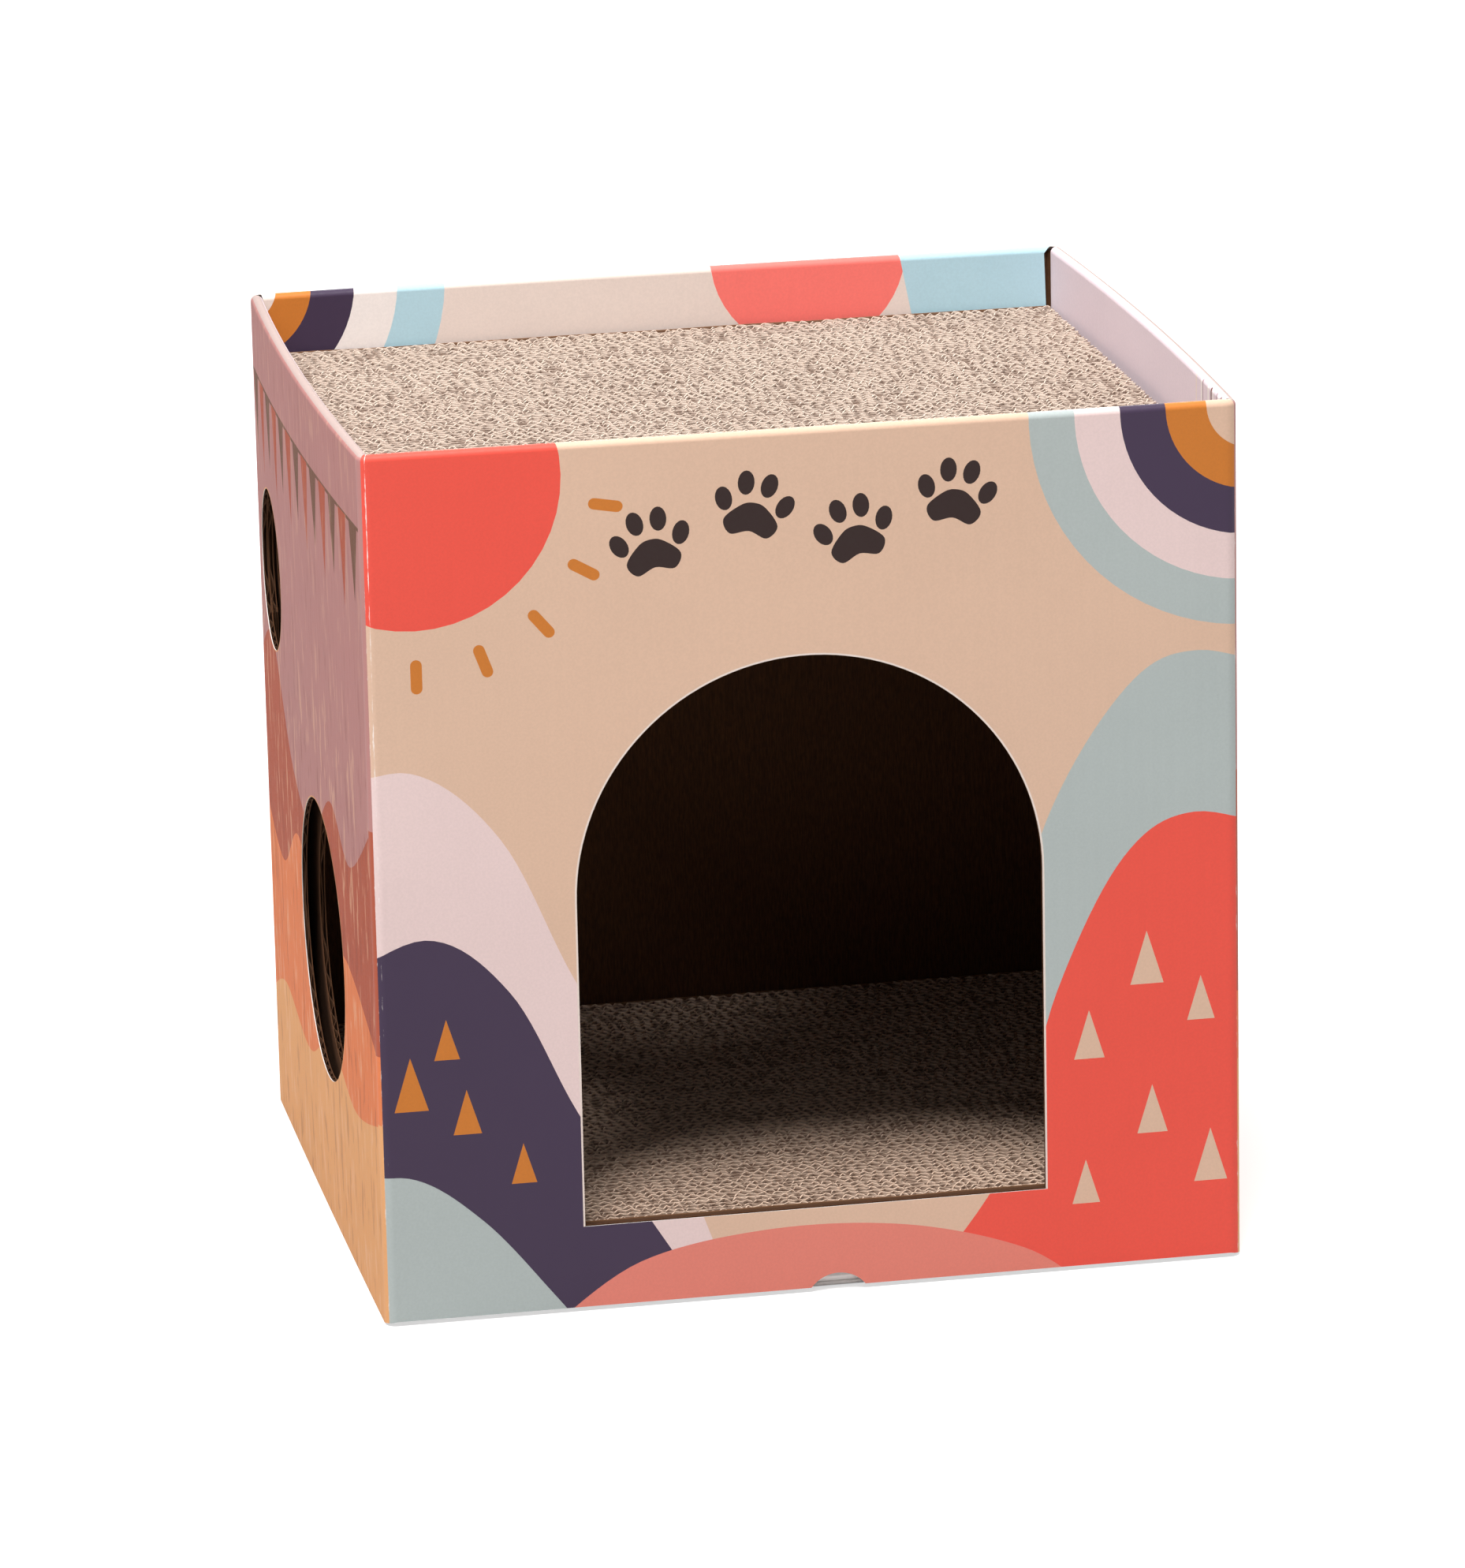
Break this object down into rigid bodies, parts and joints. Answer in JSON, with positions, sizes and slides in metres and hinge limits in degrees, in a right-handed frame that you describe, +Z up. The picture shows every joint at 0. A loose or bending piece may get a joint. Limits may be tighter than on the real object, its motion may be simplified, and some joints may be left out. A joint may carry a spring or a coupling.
{
  "type": "cat house",
  "caption": "Box-shaped cat house of corrugated board with an arched doorway, round side holes, an open tray on top and scratch pads on the roof and the floor.",
  "frame": {"origin": "middle of the footprint, on the floor", "axes": "+Z up, +X to the right seen from the front, +Y to the rear, so the doorway faces -Y"},
  "size_m": [0.38, 0.335, 0.385],
  "materials": {
    "printed_front": "satin print",
    "printed_side": "satin print",
    "printed_base": "pale coated liner",
    "kraft_board": "matte kraft",
    "corrugated_pad": "cut flute ends"
  },
  "bodies": {
    "house": {"front_wall": "printed_front", "front_rim": "printed_front", "front_lining": "printed_front", "back_wall": "printed_front", "back_rim": "printed_front", "back_lining": "printed_front", "left_wall": "printed_side", "left_rim": "printed_side", "left_lining": "printed_side", "right_wall": "printed_side", "right_rim": "printed_side", "right_lining": "printed_side", "seam_flap": "kraft_board"},
    "shelf": {"shelf_deck": "kraft_board", "shelf_left_leg": "kraft_board", "shelf_right_leg": "kraft_board"},
    "top_pad": {"top_scratch_pad": "corrugated_pad"},
    "floor_pad": {"floor_scratch_pad": "corrugated_pad"},
    "base": {"base_panel": "printed_base"},
    "tuck_flap": {"base_tuck_flap": "printed_base"},
    "left_flap": {"left_dust_flap": "kraft_board"},
    "right_flap": {"right_dust_flap": "kraft_board"}
  },
  "joints": [
    {"name": "shelf_lift", "type": "slide", "parent": "house", "child": "shelf", "axis": [0, 0, 1], "range_m": [0, 0.385]},
    {"name": "top_pad_lift", "type": "slide", "parent": "shelf", "child": "top_pad", "axis": [0, 0, 1], "range_m": [0, 0.065]},
    {"name": "floor_pad_lift", "type": "slide", "parent": "house", "child": "floor_pad", "axis": [0, 0, 1], "range_m": [0, 0.28]},
    {"name": "base_open", "type": "hinge", "parent": "house", "child": "base", "pos_m": [0, 0.1647, 0], "axis": [1, 0, 0], "range_deg": [0, 120]},
    {"name": "tuck_fold", "type": "hinge", "parent": "base", "child": "tuck_flap", "pos_m": [0, -0.1628, 0.0025], "axis": [1, 0, 0], "range_deg": [0, 90]},
    {"name": "left_flap_fold", "type": "hinge", "parent": "house", "child": "left_flap", "pos_m": [-0.1872, 0, 0.0028], "axis": [0, 1, 0], "range_deg": [0, 90]},
    {"name": "right_flap_fold", "type": "hinge", "parent": "house", "child": "right_flap", "pos_m": [0.1872, 0, 0.0028], "axis": [0, -1, 0], "range_deg": [0, 90]}
  ],
  "couplings": [
    {"joint": "tuck_fold", "follows": "base_open", "ratio": 0.75},
    {"joint": "left_flap_fold", "follows": "base_open", "ratio": 0.75},
    {"joint": "right_flap_fold", "follows": "base_open", "ratio": 0.75}
  ]
}
